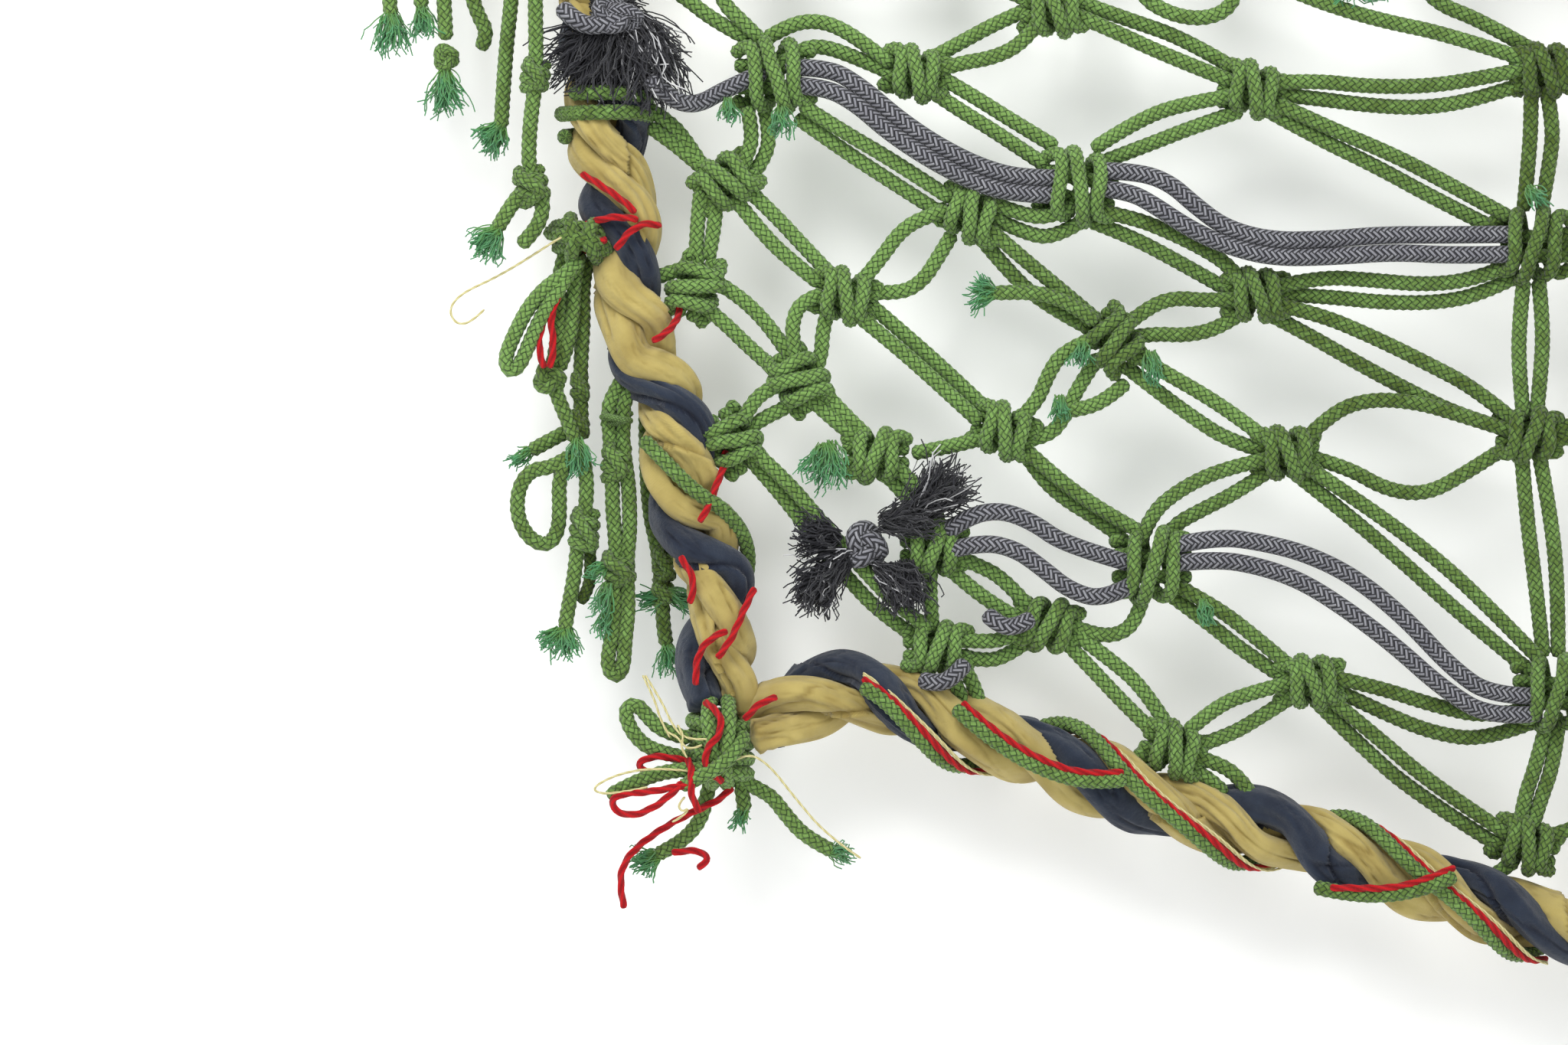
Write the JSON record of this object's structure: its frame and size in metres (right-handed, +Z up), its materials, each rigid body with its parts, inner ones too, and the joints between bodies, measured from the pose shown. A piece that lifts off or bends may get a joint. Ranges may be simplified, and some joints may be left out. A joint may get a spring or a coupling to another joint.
{
  "type": "cargo climbing net",
  "caption": "Hanging climbing net of knotted braided cords tied into a border of twisted cloth rope, with frayed cord tails that swing.",
  "frame": {"origin": "on the centreline of the top border rope, where the net hangs from its line", "axes": "+X right along the top rope, +Z up, +Y away from the climber, out of the back of the net"},
  "size_m": [1.1672, 0.1052, 1.0156],
  "materials": {
    "navy_cloth": "woven cotton cloth, navy",
    "tan_cloth": "woven cotton cloth, ochre tan",
    "grey_cord": "herringbone braided cord, grey",
    "black_fray": "loose frayed fibres, black",
    "red_cord": "twisted wool cord, red",
    "pale_twine": "waxed thin twine, pale yellow",
    "green_fray": "loose frayed fibres, blue-green",
    "green_cord": "diamond braided cord, leaf green"
  },
  "bodies": {
    "net": {"black_frays": "black_fray", "border_hitches": "green_cord", "bottom_navy_strand": "navy_cloth", "bottom_tan_strand_back": "tan_cloth", "bottom_tan_strand_front": "tan_cloth", "cords_a": "green_cord", "cords_b": "green_cord", "cords_c": "green_cord", "cords_d": "green_cord", "cords_e_f": "green_cord", "cords_top": "green_cord", "corner_lashings": "green_cord", "green_frays": "green_fray", "green_lashing": "green_cord", "grey_cord_lower": "grey_cord", "grey_cord_upper": "grey_cord", "grey_stopper_knots": "grey_cord", "knots_a": "green_cord", "knots_b": "green_cord", "knots_c": "green_cord", "knots_d": "green_cord", "knots_e_f": "green_cord", "knots_top": "green_cord", "left_navy_strand": "navy_cloth", "left_tan_strand_back": "tan_cloth", "left_tan_strand_front": "tan_cloth", "red_lashing": "red_cord", "right_navy_strand": "navy_cloth", "right_tan_strand_back": "tan_cloth", "right_tan_strand_front": "tan_cloth", "top_navy_strand": "navy_cloth", "top_tan_strand_back": "tan_cloth", "top_tan_strand_front": "tan_cloth", "twine_lashing": "pale_twine"},
    "tail_head": {"head_tail_cords": "green_cord", "head_tail_tassels": "green_fray", "head_tail_knot": "green_cord"},
    "tail_plain": {"plain_tail_cord": "green_cord", "plain_tail_tassel": "green_fray"},
    "tail_knotted": {"knotted_tail_cords": "green_cord", "knotted_tail_knots": "green_cord", "knotted_tail_tassel": "green_fray"},
    "tail_side": {"long_loop": "green_cord", "long_red_loop": "red_cord", "side_tail_cords": "green_cord", "side_tail_knots": "green_cord", "side_tail_tassels": "green_fray"},
    "tail_lower": {"drop_loop": "green_cord", "lower_tail_knot": "green_cord", "lower_tail_tassel": "green_fray"},
    "tail_thick": {"thick_tail_cords": "green_cord", "thick_tail_knots": "green_cord"},
    "tail_inner": {"inner_tail_cords": "green_cord", "inner_tail_knots": "green_cord", "inner_tail_tassel": "green_fray"},
    "tail_corner": {"corner_tail_cords": "green_cord", "corner_red_cord": "red_cord", "corner_tail_tassels": "green_fray"},
    "tail_right": {"right_tail_cord": "green_cord", "right_tail_tassel": "green_fray"}
  },
  "joints": [
    {"name": "tail_head_swing", "type": "hinge", "parent": "net", "child": "tail_head", "pos_m": [-0.6, 0, -0.042], "axis": [1, 0, 0], "range_deg": [-40, 25]},
    {"name": "tail_plain_swing", "type": "hinge", "parent": "net", "child": "tail_plain", "pos_m": [-0.541, 0, -0.042], "axis": [1, 0, 0], "range_deg": [-40, 20]},
    {"name": "tail_knotted_swing", "type": "hinge", "parent": "net", "child": "tail_knotted", "pos_m": [-0.519, -0.0379, -0.042], "axis": [1, 0, 0], "range_deg": [-40, 0]},
    {"name": "tail_side_swing", "type": "hinge", "parent": "net", "child": "tail_side", "pos_m": [-0.497, -0.006, -0.358], "axis": [1, 0, 0], "range_deg": [-35, 8]},
    {"name": "tail_lower_swing", "type": "hinge", "parent": "tail_side", "child": "tail_lower", "pos_m": [-0.5, 0, -0.514], "axis": [1, 0, 0], "range_deg": [-30, 5]},
    {"name": "tail_thick_swing", "type": "hinge", "parent": "net", "child": "tail_thick", "pos_m": [-0.457, 0, -0.458], "axis": [1, 0, 0], "range_deg": [-35, 12]},
    {"name": "tail_inner_swing", "type": "hinge", "parent": "net", "child": "tail_inner", "pos_m": [-0.434, 0.0379, -0.462], "axis": [1, 0, 0], "range_deg": [0, 25]},
    {"name": "tail_corner_swing", "type": "hinge", "parent": "net", "child": "tail_corner", "pos_m": [-0.372, 0, -0.785], "axis": [1, 0, 0], "range_deg": [-30, 25]},
    {"name": "tail_right_swing", "type": "hinge", "parent": "net", "child": "tail_right", "pos_m": [-0.34, 0, -0.779], "axis": [1, 0, 0], "range_deg": [-35, 25]}
  ]
}
